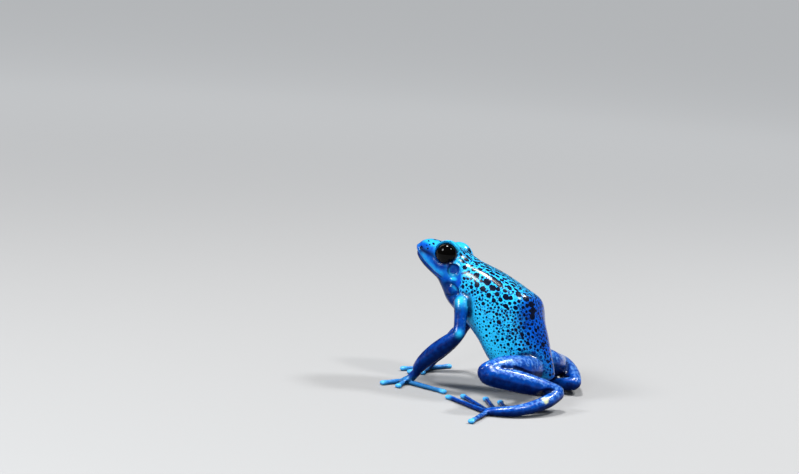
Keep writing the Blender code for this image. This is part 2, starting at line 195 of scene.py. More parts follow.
leftEye, rightEye = middleOf("left_eye"), middleOf("right_eye")
eyeRadius = (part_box("left_eye")[1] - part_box("left_eye")[0]).z / 2
headAcross = (leftEye - rightEye).normalized()
headForward = headAcross.cross(Vector((0, 0, 1))).normalized()
headUp = headForward.cross(headAcross)
headMiddle = (leftEye + rightEye) / 2


def toHead(points):
    # Points in mm along the head's axes.
    axes = np.array((headAcross, headForward, headUp))
    return (points - np.array(headMiddle)) @ axes.T / mm


# The skin.
skinFacts = {
    "grow": 0.17,               # mm that each piece swells, so that the thin cuts between them close
    "voxel": 0.20,
    "trunkSmooth": 46,          # rounds of smoothing
    "limbSmooth": 18,
    "digitSmooth": 5,
    "trunkFade": (-0.6, 0.8),   # mm by which the trunk is nearer than a limb where its smoothing comes in
    "limbFade": (-0.4, 0.6),    # and by which a limb is nearer than the digits
    "eyeKeep": (3.0, 4.2),      # mm from an eye's middle between which all that smoothing comes in
    "thin": 0.655,              # share of the faces kept, thinned on the limbs alone
    "thinFade": (0.1, 1.0),     # mm by which a limb is nearer than the trunk where the thinning comes in
    "creaseRounds": 14,         # rounds of averaging that make a point's surroundings
    "crease": (0.015, 0.09),    # mm below the surroundings between which a crease comes in
    "creaseDeep": 0.28,
    "creaseKeep": ((-5.0, -3.0), (-11.0, -9.0)),    # forward and up on the head, where no crease is drawn
}
# The mouth line is in mm forward of the middle between the eyes and up from it.
# Other places on the head are pixels of the photo, and are mirrored to the far side.
headFacts = {
    "ends": ((-6.0, -4.0), (-13.0, -11.0)),     # forward and up, over which the head's carving fades in
    "mouth": ((11.7, 1.2), (7.8, 0.2), (6.5, -1.0), (4.9, -2.4), (2.3, -4.2), (-0.5, -5.4)),
    "mouthDeep": 0.26,
    "mouthWide": 0.17,
    "mouthFade": (0.90, 1.0),           # share of the line over which it runs out
    "upperLip": (0.85, 0.45, 0.20),     # distance from the mouth line, half width and height
    "lowerLip": (0.50, 0.30, 0.06),
    # strength of the painted highlight on the upper lip's ridge
    "lipGlow": 0.35,
    "nostril": (420.9, 247.6),
    "nostrilDeep": 0.32,
    "nostrilWide": 0.34,
    "nostrilRim": (0.60, 0.22, 0.05),   # distance from its middle, half width and height
    "nostrilDark": (0.38, 0.54),        # mm from its middle over which the painted shade of the opening fades
    "streak": ((421.5, 249.8), (425.5, 251.8), (431.0, 254.8), (434.0, 259.0), (437.0, 264.0),
               (442.5, 267.5), (449.0, 267.3)),
    "streakDeep": 0.20,
    "streakWide": 0.62,
    "streakDark": (0.95, 0.40),         # how dark its painted shade is at the nostril, and how much less under the eye
    "gland": ((452.6, 280.6, 0.62, 0.62), (448.8, 277.0, 0.6, 0.22)),   # with half width and height in mm
    # strength of the gland's painted highlight
    "glandGlow": 0.1,
    "folds": ((451.2, 289.3, 0.95, 0.50), (451.5, 300.5, 1.3, 0.45)),
    "creases": (((446.3, 283.6), (450.0, 283.0), (454.0, 284.6), (457.2, 289.0), (457.6, 294.0)),
                ((447.6, 295.0), (451.5, 295.6), (455.5, 293.6))),
    "creaseDeep": 0.34,
    "creaseWide": 0.32,
    "creaseDark": (0.26, 0.55),         # half width and strength of the painted shade in the creases
    "edge": ((459.3, 244.0), (459.5, 256.0), (460.8, 264.0), (461.5, 275.0), (460.8, 284.0), (458.0, 291.0),
             (456.5, 298.0)),           # where the face ends and the spots begin
    "edgeSoft": 0.35,
    "crown": (1.6, 3.0),                # height above the eyes from which the spots come further forward
    "crownShift": 5.0,                  # by so many mm
    "brow": (3.5, 3.9),                 # mm from an eye's middle within which no spots lie
    "browEnd": (-2.4, -1.5),            # mm forward over which that begins
    "throatShade": 0.84,
    "opening": (2.66, 2.28, 2.56),      # half width of the open eye, and its height above and below
    "lidTurn": 0.10,                    # how far the opening faces back
    "lidStart": (-0.4, 0.3),            # mm out from the eye's middle over which the lids begin
    "lidEnd": (2.8, 3.25),              # mm from the eye's middle over which they end
    "lidUnder": 0.15,                   # mm that the lid runs on inside the eyeball's outline
    "lidOut": 2.28,                     # mm from the eyeball's middle to the lid's edge
    "lidSlope": 1.0,                    # how fast it rises from there
    "lid": 2.60,                        # half width of the solid's round opening
    "drumWide": 1.2,
    "drumDeep": 0.15,
    "drumRim": (0.10, 0.20, 0.13),      # gap from the drum, half width and height of the raised rim
    "drumDark": 0.55,
}


def joinedCopies(names, grow=0.0):
    # Merged copies of some nodes in one bmesh.
    whole = bmesh.new()
    for name in names:
        part = mergedCopy(name, grow)
        mesh = bpy.data.meshes.new("copy")
        part.to_mesh(mesh)
        whole.from_mesh(mesh)
        part.free()
        bpy.data.meshes.remove(mesh)
    return whole


def makeSkin(names):
    # One closed skin round all the flesh.
    whole = joinedCopies(names, skinFacts["grow"] * mm)
    mesh = bpy.data.meshes.new("skin")
    whole.to_mesh(mesh)
    whole.free()
    skin = bpy.data.objects.new("skin", mesh)
    bpy.context.scene.collection.objects.link(skin)
    remesh = skin.modifiers.new("remesh", "REMESH")
    remesh.mode = "VOXEL"
    remesh.voxel_size = skinFacts["voxel"] * mm
    shrink = skin.modifiers.new("shrink", "DISPLACE")
    shrink.strength = -skinFacts["grow"] * mm
    shrink.mid_level = 0.0
    applyModifiers(skin)
    print("skin remeshed,", len(skin.data.polygons), "faces")
    return skin


def nearness(points):
    # How far each point is from the trunk, the limbs and the digits, in mm.
    wordsOf = {
        "trunk": ("head", "jaw", "torso", "tympanum"),
        "limb": ("arm", "hand", "thigh", "shank", "foot"),
        "digit": ("finger", "toe"),
    }
    regions = {}
    for region, words in wordsOf.items():
        whole = joinedCopies([name for name in fleshNodes if any(word in name for word in words)])
        tree = BVHTree.FromBMesh(whole)
        whole.free()
        regions[region] = np.array([tree.find_nearest(Vector(point))[3] for point in points]) / mm
    return regions


def addGroup(skin, name, weights):
    # A vertex group of ten levels.
    group = skin.vertex_groups.new(name=name)
    for level in range(1, 11):
        chosen = np.nonzero(np.round(weights * 10) == level)[0]
        group.add(chosen.tolist(), level / 10, "REPLACE")


def smoothSkin(skin):
    # Smooth the trunk most, the limbs less and the digits least.
    points = readPoints(skin.data)
    near = nearness(points)
    eyes = [np.linalg.norm(points - np.array(eye), axis=1) / mm for eye in (leftEye, rightEye)]
    calm = smoothStep(np.minimum(*eyes), *skinFacts["eyeKeep"])
    outer = np.minimum(near["limb"], near["digit"])
    inner = np.minimum(near["limb"], near["trunk"])
    shares = {
        "trunkSmooth": smoothStep(outer - near["trunk"], *skinFacts["trunkFade"]) * calm,
        "limbSmooth": smoothStep(near["digit"] - inner, *skinFacts["limbFade"]) * calm,
        "digitSmooth": np.ones(len(points)),
    }
    for name, weights in shares.items():
        addGroup(skin, name, weights)
        smooth = skin.modifiers.new(name, "SMOOTH")
        smooth.factor = 0.5
        smooth.iterations = skinFacts[name]
        smooth.vertex_group = name
    applyModifiers(skin)
    skin.vertex_groups.clear()
    addGroup(skin, "limbs", smoothStep(near["trunk"] - outer, *skinFacts["thinFade"]))
    print("skin smoothed")


def thinLimbs(skin):
    # Fewer faces on the limbs, which carry no spots.
    thin = skin.modifiers.new("thin", "DECIMATE")
    thin.ratio = skinFacts["thin"]
    thin.vertex_group = "limbs"
    applyModifiers(skin)
    skin.vertex_groups.clear()
    count = sum(len(face.vertices) - 2 for face in skin.data.polygons)
    print("limbs thinned,", count, "triangles in the skin")


def spread(values, mesh, rounds):
    # Columns of values, one row for each point, averaged with the neighbours' over and over.
    ends = np.zeros(len(mesh.edges) * 2, dtype=np.int32)
    mesh.edges.foreach_get("vertices", ends)
    first, second = ends.reshape(-1, 2).T
    rows, columns = values.shape
    count = np.bincount(ends, minlength=rows)
    for turn in range(rounds):
        total = [np.bincount(first, values[second, column], rows) +
                 np.bincount(second, values[first, column], rows) for column in range(columns)]
        values = np.stack(total, axis=1) / count[:, None]
    return values


def hollows(points, normals, mesh, rounds):
    # How deep each point lies below the middle of its surroundings, in mm.
    return ((spread(points, mesh, rounds) - points) * normals).sum(axis=1) / mm


def headPlace(tree, pixel):
    # A pixel's place on the head: across (either side), forward and up, in mm.
    place = toHead(castPixel(tree, pixel)[0] * mm)
    return np.array((abs(place[0]), place[1], place[2]))


def darken(marks, values):
    marks["dark"] = np.maximum(marks["dark"], values)


def carveMouth(marks, place):
    # Mouth line and lips, with painted shade in the groove and on the jaw below them.
    facts = headFacts
    apart, share = alongLine(place[:, 1:], [np.array(point) for point in facts["mouth"]])
    level = np.interp(place[:, 1], *zip(*reversed(facts["mouth"])))
    above = place[:, 2] > level
    fade = 1 - smoothStep(share, *facts["mouthFade"])
    groove = bell(apart, facts["mouthWide"]) * fade
    marks["lift"] -= facts["mouthDeep"] * groove
    # painted shade in the mouth groove
    darken(marks, groove)
    for lip, chosen in (("upperLip", above), ("lowerLip", ~above)):
        gap, width, height = facts[lip]
        ridge = bell(apart - gap, width) * chosen * fade
        marks["lift"] += height * ridge
        if lip == "upperLip":
            # a painted highlight along the upper lip's ridge
            marks["glow"] += facts["lipGlow"] * ridge * smoothStep(share, 0.2, 0.5)
    # painted shade on the jaw below the mouth line
    marks["jaw"] = (1 - smoothStep(place[:, 2] - level, -0.5, 0.0)) * smoothStep(place[:, 1], -0.6, 1.0)


def carveNose(marks, mirrored, tree):
    # Nostrils, with painted shade in their openings, and the hollow from there to below the eye, with
    # painted shade along it.
    facts = headFacts
    nostril = np.linalg.norm(mirrored - headPlace(tree, facts["nostril"]), axis=1)
    gap, width, height = facts["nostrilRim"]
    within, beyond = facts["nostrilDark"]
    marks["lift"] -= facts["nostrilDeep"] * bell(nostril, facts["nostrilWide"])
    marks["lift"] += height * bell(nostril - gap, width)
    # painted shade in the nostril's opening
    darken(marks, smoothStep(-nostril, -beyond, -within))
    apart, share = alongLine(mirrored, [headPlace(tree, pixel) for pixel in facts["streak"]])
    streak = bell(apart, facts["streakWide"])
    front, loss = facts["streakDark"]
    marks["lift"] -= facts["streakDeep"] * streak
    # painted shade along the hollow before the eye
    darken(marks, streak * (front - loss * smoothStep(share, 0.15, 0.6)))


def carveThroat(marks, mirrored, tree):
    # Gland behind the mouth with a painted highlight, folds, and creases of the throat with painted shade.
    facts = headFacts
    for name in ("gland", "folds"):
        for across, down, width, height in facts[name]:
            apart = np.linalg.norm(mirrored - headPlace(tree, (across, down)), axis=1)
            marks["lift"] += height * bell(apart, width)
            if name == "gland":
                # the gland's painted highlight
                marks["glow"] += facts["glandGlow"] * bell(apart, width)
    width, strength = facts["creaseDark"]
    for line in facts["creases"]:
        apart, share = alongLine(mirrored, [headPlace(tree, pixel) for pixel in line])
        marks["lift"] -= facts["creaseDeep"] * bell(apart, facts["creaseWide"])
        # painted shade in the throat's creases
        darken(marks, strength * bell(apart, width))


def carveEardrums(marks, place):
    facts = headFacts
    wide = facts["drumWide"]
    gap, width, height = facts["drumRim"]
    for name in ("left_tympanum", "right_tympanum"):
        offset = place - toHead(np.array(middleOf(name)))
        offset[:, 0] *= 0.6
        reach = np.linalg.norm(offset, axis=1)
        sunk = facts["drumDeep"] * smoothStep(-reach, -wide, -wide + 0.25)
        marks["lift"] -= sunk - height * bell(reach - wide - gap, width)
        # painted shade on the drum's rim, deepest on its upper side, and a painted highlight on its lower
        # rim; the sunken drum is drawn darker
        upper = smoothStep(offset[:, 2] + 0.6 * offset[:, 1], -0.9, 0.6)
        darken(marks, (0.60 + 0.4 * upper) * bell(reach - wide + 0.02, 0.24))
        darken(marks, facts["drumDark"] * smoothStep(-reach, -wide, -wide + 0.2))
        marks["glow"] += 0.35 * (1 - upper) * bell(reach - wide - 0.22, 0.14)


def closeLids(marks, points):
    # Close the lids on the eyeballs. Gives the moved points and how near the brow each lies.
    facts = headFacts
    wide, above, below = facts["opening"]
    near, far = facts["brow"]
    brow = np.zeros(len(points))
    for eye in (leftEye, rightEye):
        out = np.array(headAcross) * (1 if (eye - headMiddle).dot(headAcross) > 0 else -1)
        out = out - facts["lidTurn"] * np.array(headForward)
        out /= np.linalg.norm(out)
        offset = (points - np.array(eye)) / mm
        depth = offset @ out
        flat = offset - depth[:, None] * out
        radius = np.maximum(np.linalg.norm(flat, axis=1), 0.01)
        distance = np.linalg.norm(offset, axis=1)
        height = (flat @ np.array(headUp)) / radius
        tall = np.where(height > 0, above, below)
        opening = wide * tall / np.sqrt((wide * height) ** 2 + (tall ** 2) * (1 - height ** 2))
        inner = opening - facts["lidUnder"]
        rim = smoothStep(depth, *facts["lidStart"]) * (1 - smoothStep(distance, *facts["lidEnd"]))
        target = np.clip(radius - (facts["lid"] - inner) * rim, 0, None)
        moved = depth[:, None] * out + flat * (target / radius)[:, None]
        limit = facts["lidOut"] + facts["lidSlope"] * np.clip(target - inner, 0, None)
        over = (rim > 0.02) & (depth > 0.2) & (np.linalg.norm(moved, axis=1) > limit)
        moved[over] *= (1 - rim[over] * (1 - limit[over] / np.linalg.norm(moved[over], axis=1)))[:, None]
        points = np.where((rim > 0)[:, None], np.array(eye) + moved * mm, points)
        side = smoothStep(depth, -0.2, 0.4)
        edge = target - opening
        low = smoothStep(-height, -0.3, 0.6)
        # painted light on the brow band just above the opening
        light = 0.6 * bell(edge - 0.30, 0.30) * smoothStep(height, 0.0, 0.6)
        marks["glow"] += light * side * (distance < 3.6)
        # painted shade where the lids meet the eyeball
        darken(marks, side * (1 - smoothStep(edge, -0.08, 0.04 + 0.10 * low)) * (distance < 3.3))
        # painted shade in a band below the lower lid
        darken(marks, 0.45 * side * bell(edge - 0.60, 0.22) * low * (distance < 3.6))
        brow = np.maximum(brow, smoothStep(-distance, -far, -near))
    return points, brow


def markFace(marks, place, tree, brow):
    # The face keeps clear of spots, and the throat gets painted shade like the jaw.
    facts = headFacts
    edge = [toHead(castPixel(tree, pixel)[0] * mm) for pixel in facts["edge"]]
    edge = sorted((up, forward) for across, forward, up in edge)
    border = np.interp(place[:, 2], *zip(*edge))
    border += facts["crownShift"] * smoothStep(place[:, 2], *facts["crown"])
    brow = brow * smoothStep(place[:, 1], *facts["browEnd"])
    soft = facts["edgeSoft"]
    marks["plain"] = np.maximum(smoothStep(place[:, 1] - border, -soft, soft), brow)
    throat = smoothStep(place[:, 1] - border, 0.6, 2.6) * smoothStep(-place[:, 2], 4.8, 6.4)
    marks["throat"] = facts["throatShade"] * throat * marks["plain"]


def sculptHead(mesh):
    # Lids, mouth, lips, nostrils, the hollow before the eye, eardrums, gland and throat folds, with painted
    # light and shade on them.
    tree = surfaceTree(mesh)
    points, normals = readPoints(mesh), readNormals(mesh)
    place = toHead(points)
    mirrored = np.stack((np.abs(place[:, 0]), place[:, 1], place[:, 2]), axis=1)
    forward, up = headFacts["ends"]
    onHead = smoothStep(place[:, 1], *forward) * smoothStep(place[:, 2], *up)
    marks = {name: np.zeros(len(points)) for name in ("lift", "dark", "glow")}
    carveMouth(marks, place)
    carveNose(marks, mirrored, tree)
    carveThroat(marks, mirrored, tree)
    carveEardrums(marks, place)
    points += normals * (marks["lift"] * onHead * mm)[:, None]
    points, brow = closeLids(marks, points)
    markFace(marks, place, tree, brow)
    writePoints(mesh, points)
    # painted shade of grooves, pits, creases, rims and lid edges
    writeValue(mesh, "dark", marks["dark"] * onHead)
    # painted light of lids, lip, gland and eardrums
    writeValue(mesh, "glow", marks["glow"] * onHead)
    # painted shade of jaw and throat
    writeValue(mesh, "jaw", np.maximum(marks["jaw"] * onHead, marks["throat"]))
    writeValue(mesh, "plain", marks["plain"])
    print("head shaped")


def deepenCreases(mesh):
    # Where two forms meet, draw the crease deeper and mark it for painted shade.
    points, normals = readPoints(mesh), readNormals(mesh)
    depth = hollows(points, normals, mesh, skinFacts["creaseRounds"])
    crease = smoothStep(depth, *skinFacts["crease"])
    place = toHead(points)
    forward, up = skinFacts["creaseKeep"]
    crease *= 1 - smoothStep(place[:, 1], *forward) * smoothStep(place[:, 2], *up)
    points -= normals * (crease * skinFacts["creaseDeep"] * mm)[:, None]
    writePoints(mesh, points)
    writeValue(mesh, "crease", crease)


fleshNodes = [name for name in nodes if "eye" not in name]
skin = makeSkin(fleshNodes)
smoothSkin(skin)
sculptHead(skin.data)
deepenCreases(skin.data)
thinLimbs(skin)
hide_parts(*fleshNodes)
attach(skin, "root")


# Markings: each black or dark blue spot is a place on the skin, and a field tells how near the next one is.
spotFacts = {
    # Spots seen in the photo, as pixels across and down, half width in pixels and stretch along the back.
    "flank": (
        (464.9, 267.3, 2.5, 1.0), (476.4, 275.6, 3.3, 1.0), (486.8, 275.2, 2.6, 1.3),
        (487.1, 281.9, 3.4, 1.2), (495.0, 280.6, 2.9, 1.5), (499.4, 283.9, 2.9, 1.5),
        (477.0, 284.8, 2.8, 1.0), (471.3, 287.2, 2.0, 1.0), (483.0, 289.0, 2.9, 1.1),
        (488.8, 295.3, 2.7, 1.0), (497.2, 294.3, 2.5, 1.0), (493.7, 300.4, 2.3, 1.0),
        (505.8, 296.8, 3.0, 1.2), (510.6, 298.0, 2.3, 1.1), (509.4, 287.8, 2.2, 1.3),
        (513.0, 291.8, 1.4, 1.0), (518.7, 294.2, 3.0, 1.2), (526.1, 298.5, 3.2, 1.2),
        (531.4, 304.3, 3.1, 1.0), (532.9, 310.6, 3.4, 1.1), (532.6, 316.8, 3.1, 1.1),
        (505.6, 306.0, 2.2, 1.2), (508.2, 308.8, 1.6, 1.0), (515.5, 307.9, 2.1, 1.2),
        (518.8, 301.3, 1.8, 1.1), (523.1, 307.5, 1.7, 1.0), (522.7, 303.0, 1.2, 1.0),
        (499.0, 322.2, 2.2, 1.1), (508.8, 325.3, 1.5, 1.0), (502.1, 311.0, 1.3, 1.0),
        (498.6, 307.4, 1.4, 1.0), (494.8, 307.4, 1.3, 1.0), (517.8, 312.5, 1.4, 1.2),
        (520.0, 319.0, 1.4, 1.0), (508.4, 319.0, 1.4, 1.0), (502.6, 339.1, 1.7, 1.0),
        (497.7, 340.2, 1.5, 1.0), (486.5, 335.7, 1.6, 1.0), (486.1, 329.7, 1.3, 1.0),
        (489.6, 333.3, 1.1, 1.0), (543.2, 344.5, 2.1, 1.5), (530.0, 328.6, 1.5, 1.2),
        (547.7, 361.4, 1.6, 1.6), (482.4, 295.4, 1.5, 1.0), (493.4, 312.1, 1.4, 1.0),
        (487.0, 312.5, 1.3, 1.0), (462.8, 292.3, 1.2, 1.0), (466.5, 291.4, 1.2, 1.0),
    ),
    "head": (
        (433.5, 243.7, 1.2, 1.4), (429.8, 244.6, 0.9, 1.0), (426.7, 245.2, 0.6, 1.0),
        (428.6, 240.9, 0.9, 1.4), (427.8, 248.5, 0.9, 1.2), (459.7, 257.8, 1.1, 1.0),
        (455.9, 250.2, 0.9, 1.0),
    ),
    # Drawn spots by height up the side: share of the way up, half width in mm, room between in mm.
    "grading": ((0.0, 0.11, 0.80), (0.3, 0.14, 0.46), (0.5, 0.19, 0.30), (0.68, 0.26, 0.18),
                (0.85, 0.42, 0.20), (1.0, 0.36, 0.26)),
    "roomShares": (0.4, 0.7, 1.0, 1.3),     # one is drawn for each spot, so that some crowd and some don't
    "tries": 16000,
    "seed": 11,
    "spine": (0.0, 0.82, -0.57),            # the way the back runs, to which spots are stretched
    "up": (0.0, 0.5, 0.87),                 # the way the back faces
}


def spotPlaces(tree):
    # The photo's own spots, cast on to the skin and drawn out along the sight where the skin turns away.
    spots = []
    for group in ("flank", "head"):
        for across, down, half, stretch in spotFacts[group]:
            found = castPixel(tree, (across, down))
            if found:
                place, way, reach = found
                spots.append((place, half * reach / cameraFacts["focalPixels"], stretch, way))
    return spots


def markSpots(mesh, onTrunk, upSide, rump):
    # Fill the trunk with drawn spots between the chosen ones, then measure the way to the nearest.
    rng = random.Random(spotFacts["seed"])
    points = readPoints(mesh) / mm
    spots = spotPlaces(surfaceTree(mesh))
    print(len(spots), "spots chosen")
    steps, halves, rooms = zip(*spotFacts["grading"])
    candidates = np.nonzero(onTrunk > 0.9)[0]
    places = np.array([spot[0] for spot in spots])
    sizes = np.array([spot[1] for spot in spots])
    for attempt in range(spotFacts["tries"]):
        index = candidates[rng.randrange(len(candidates))]
        height = upSide[index]
        start = 1.6 - 1.2 * attempt / spotFacts["tries"]       # larger ones come first
        half = np.interp(height, steps, halves) * rng.uniform(0.7, 1.15) * start * (1 - 0.4 * rump[index])
        room = np.interp(height, steps, rooms) * rng.choice(spotFacts["roomShares"])
        room *= 1 + 0.6 * rump[index]
        apart = np.linalg.norm(places - points[index], axis=1)
        if np.any(apart < sizes + half + room):
            continue
        spots.append((points[index], half, rng.uniform(1.0, 1.5) if height > 0.6 else 1.1, None))
        places = np.vstack((places, points[index]))
        sizes = np.append(sizes, half)
    spine = np.array(spotFacts["spine"])
    field = np.full(len(points), 2.0)
    size = np.full(len(points), 0.2)
    for place, half, stretch, way in spots:
        near = np.nonzero(np.abs(points - place).max(axis=1) < half * 3 + 0.8)[0]
        offset = points[near] - place
        reach = (offset ** 2).sum(axis=1) - (offset @ spine) ** 2 * (1 - 1 / stretch ** 2)
        if way is not None:
            reach -= (offset @ way) ** 2 * 0.75
        signed = (np.sqrt(np.maximum(reach, 0)) / half - 1) * half
        closer = signed < field[near]
        field[near[closer]] = signed[closer]
        size[near[closer]] = half
    writeValue(mesh, "spots", field)
    writeValue(mesh, "size", size)
    print(len(spots), "spots in all")


def tipOf(name, base):
    # The end of a finger or toe, and its root.
    points = readPoints(nodes[name].data)
    start = np.array(middleOf(base))
    reach = np.linalg.norm(points - start, axis=1)
    return points[reach.argmax()] / mm, points[reach.argmin()] / mm


colourFacts = {
    "shoulderFade": (-2.2, 1.4),        # mm over which the trunk's colour turns into the limb's
    "rump": (0.12, 0.80),               # how far the skin faces back where the deeper blue comes in, partly the rump's own colour and partly painted shade
    "rumpFrom": (2.0, 10.0),            # mm back
    "rumpWhole": (12.2, 15.0),          # mm back where it comes in all round
    "rumpSoft": 110,                    # rounds in which its border is blurred
    "rumpLow": (4.0, 6.0, 9.0),         # how much further forward, in mm, below which heights
    # where the belly's darker blue comes in, partly its own colour and partly painted shade
    "belly": (0.25, 0.80),
    "under": (-0.40, 0.60),             # how far the skin faces down, where the coat fades and the limbs get painted shade
    "discPale": (0.9, 2.6),             # mm from a digit's tip over which the pale disc ends
    "fingerPale": (0.35, 1.0, 1.6),     # how pale the rest of a finger is, and mm over which that ends
    "fleck": (545.0, 399.6, 3.7, 5.6),  # the cream fleck above the heel: pixels, half width and height
    # Bright cyan patches on shoulder and elbow, partly their own colour and partly painted highlight:
    # pixels, half width in pixels and strength.
    "patches": ((460.5, 300.0, 6.0, 0.9), (467.0, 304.0, 4.5, 0.8), (459.5, 333.5, 3.4, 0.9)),
}


def paleDigits(points):
    # How pale each point is: most at the discs of fingers and toes, and a little along the fingers.
    pale = np.zeros(len(points))
    for name in nodes:
        if "finger" not in name and "toe" not in name:
            continue
        side = name.split("_")[0]
        tip, root = tipOf(name, side + ("_hand" if "finger" in name else "_foot"))
        reach = np.linalg.norm(points - tip, axis=1)
        share = 1 - smoothStep(reach, *colourFacts["discPale"])
        if "finger" in name:
            run = root - tip
            along = np.clip(((points - tip) @ run) / (run @ run), 0, 1)
            apart = np.linalg.norm(points - tip - along[:, None] * run, axis=1)
            strength, within, beyond = colourFacts["fingerPale"]
            share = np.maximum(share, strength * (1 - smoothStep(apart, within, beyond)))
        pale = np.maximum(pale, share)
    return pale


def markRegions(skin):
    # Where the colours of trunk, rump, belly, limbs and digits lie.
    mesh = skin.data
    points, normals = readPoints(mesh), readNormals(mesh)
    tree = surfaceTree(mesh)
    near = nearness(points)
    limb = smoothStep(near["trunk"] - near["limb"], *colourFacts["shoulderFade"])
    limb = np.maximum(limb, smoothStep(near["trunk"] - near["digit"], 0.5, 1.5))
    pale = paleDigits(points / mm)
    plain, glow = readValue(mesh, "plain"), readValue(mesh, "glow")
    # painted highlight, partly cyan skin, on shoulder and elbow
    for across, down, half, strength in colourFacts["patches"]:
        place, way, reach = castPixel(tree, (across, down))
        apart = np.linalg.norm(points / mm - place, axis=1)
        glow = np.maximum(glow, strength * bell(apart, half * reach / cameraFacts["focalPixels"]))
    mesh.attributes.remove(mesh.attributes["glow"])
    across, down, wide, tall = colourFacts["fleck"]
    place, way, reach = castPixel(tree, (across, down))
    offset = (points / mm - place) / (reach / cameraFacts["focalPixels"])
    apart = np.hypot(np.hypot(offset[:, 0], offset[:, 1]) / wide, offset[:, 2] / tall)
    onTrunk = (1 - limb) * (1 - plain)
    rump = smoothStep(normals[:, 1], *colourFacts["rump"]) * (1 - limb)
    rump *= smoothStep(points[:, 1] / mm, *colourFacts["rumpFrom"])
    shift, low, high = colourFacts["rumpLow"]
    rearward = (points[:, 1] / mm) + shift * (1 - smoothStep(points[:, 2] / mm, low, high))
    rump = np.maximum(rump, 0.85 * smoothStep(rearward, *colourFacts["rumpWhole"]) * (1 - limb))
    rump = spread(rump[:, None], mesh, colourFacts["rumpSoft"])[:, 0]
    belly = smoothStep(-normals[:, 2] - 0.25 * normals[:, 1], *colourFacts["belly"]) * (1 - limb)
    under = smoothStep(-normals[:, 2], *colourFacts["under"])
    # How far up the side each point faces: 0 on the belly, 1 on the back.
    upSide = np.clip(0.5 + 0.62 * (normals @ np.array(spotFacts["up"])), 0, 1)
    cream = 1 - smoothStep(apart, 0.8, 1.1)
    regions = {"limb": limb, "pale": pale, "rump": rump, "belly": belly, "under": under, "glow": glow,
               "cream": cream, "upSide": upSide}
    for name, values in regions.items():
        writeValue(mesh, name, values)
    markSpots(mesh, onTrunk, upSide, rump)
    print("regions marked")


markRegions(skin)


# Materials.
class Value:
    # A node's output that Python's own sums work on.
    def __init__(self, tree, socket):
        self.tree = tree
        self.socket = socket

    def sum(self, operation, first, second):
        return self.tree.node("ShaderNodeMath", {"operation": operation}, {0: first, 1: second})

    def __add__(self, other):
        return self.sum("ADD", self, other)

    def __radd__(self, other):
        return self.sum("ADD", other, self)

    def __sub__(self, other):
        return self.sum("SUBTRACT", self, other)

    def __rsub__(self, other):
        return self.sum("SUBTRACT", other, self)

    def __mul__(self, other):
        return self.sum("MULTIPLY", self, other)

    def __rmul__(self, other):
        return self.sum("MULTIPLY", other, self)

    def atMost(self, other):
        return self.sum("MINIMUM", self, other)


class Finish:
    # One material and its nodes.
    def __init__(self, name):
        self.material = bpy.data.materials.new(name)
        self.material.use_nodes = True
        self.tree = self.material.node_tree
        self.shader = self.tree.nodes["Principled BSDF"]

    def feed(self, socket, value):
        if isinstance(value, Value):
            self.tree.links.new(value.socket, socket)
        else:
            socket.default_value = value

    def node(self, kind, settings=None, inputs=None, output=0):
        made = self.tree.nodes.new(kind)
        for key, value in (settings or {}).items():
            setattr(made, key, value)
        for key, value in (inputs or {}).items():
            self.feed(made.inputs[key], value)
        return Value(self, made.outputs[output])

    def step(self, value, low, high, start=0.0, end=1.0):
        # A soft step from start to end as value goes from low to high.
        inputs = {"Value": value, "From Min": low, "From Max": high, "To Min": start, "To Max": end}
        return self.node("ShaderNodeMapRange", {"interpolation_type": "SMOOTHSTEP"}, inputs)

    def mix(self, share, first, second):
        first = (*first, 1) if isinstance(first, tuple) else first
        second = (*second, 1) if isinstance(second, tuple) else second
        return self.node("ShaderNodeMix", {"data_type": "RGBA"}, {0: share, 6: first, 7: second}, 2)

    def attribute(self, name):
        return self.node("ShaderNodeAttribute", {"attribute_name": name}, output=2)

    def place(self):
        # The place on the object, in mm.
        coordinates = self.node("ShaderNodeTexCoord", output=3)
        return self.node("ShaderNodeVectorMath", {"operation": "SCALE"}, {0: coordinates, "Scale": 1 / mm})

    def noise(self, place, scale, detail=2.0, output=0):
        inputs = {"Vector": place, "Scale": scale, "Detail": detail}
        return self.node("ShaderNodeTexNoise", None, inputs, output)

    def cells(self, place, scale, feature="F1"):
        return self.node("ShaderNodeTexVoronoi", {"feature": feature}, {"Vector": place, "Scale": scale})

    def finish(self, **sockets):
        for name, value in sockets.items():
            self.feed(self.shader.inputs[name.replace("_", " ")], value)
        return self.material


skinColours = {
    "azure": (0.0, 0.105, 0.66),
    "cyan": (0.026, 0.60, 1.0),
    # the belly's darker blue, partly painted shade
    "belly": (0.0, 0.045, 0.28),
    "face": (0.0, 0.056, 0.46),
    # the rump's deeper blue, partly painted shade
    "rump": (0.0, 0.055, 0.42),
    "limb": (0.0, 0.012, 0.12),
    "limbLight": (0.0, 0.076, 0.46),
    # pale painted light on the limb tops
    "limbTop": (0.17, 0.43, 0.90),
    "pale": (0.08, 0.46, 0.92),
    "inkBlue": (0.0, 0.008, 0.085),
    "black": (0.0004, 0.003, 0.018),
    "shade": (0.0, 0.006, 0.045),
    "cream": (0.66, 0.70, 0.42),
}


patternFacts = {
    "largeCells": 1.30,     # cells of the net in one mm, high up the side
    "smallCells": 2.5,      # and low down
    "net": 0.75,            # how strongly the bright net shows
    "ring": 0.8,            # and the bright ring round each spot
    "cellDark": 0.88,       # darkest the net's cells get
    # strength of the belly's darker blue, partly painted shade
    "belly": 0.8,
    # strength of the painted light on the limb tops
    "limbTop": 0.6,
    "fleck": 0.55,
    # strength of the painted shade on the limbs' undersides
    "underLimb": 0.85,
    # strength of the painted shade in creases
    "crease": 0.85,
    "pebbles": 3.0,         # pebbles of the skin in one mm
    "bump": 0.9,
    "bumpDeep": 0.08,       # mm
    "shine": 0.03,
    "coatRough": 0.22,
}


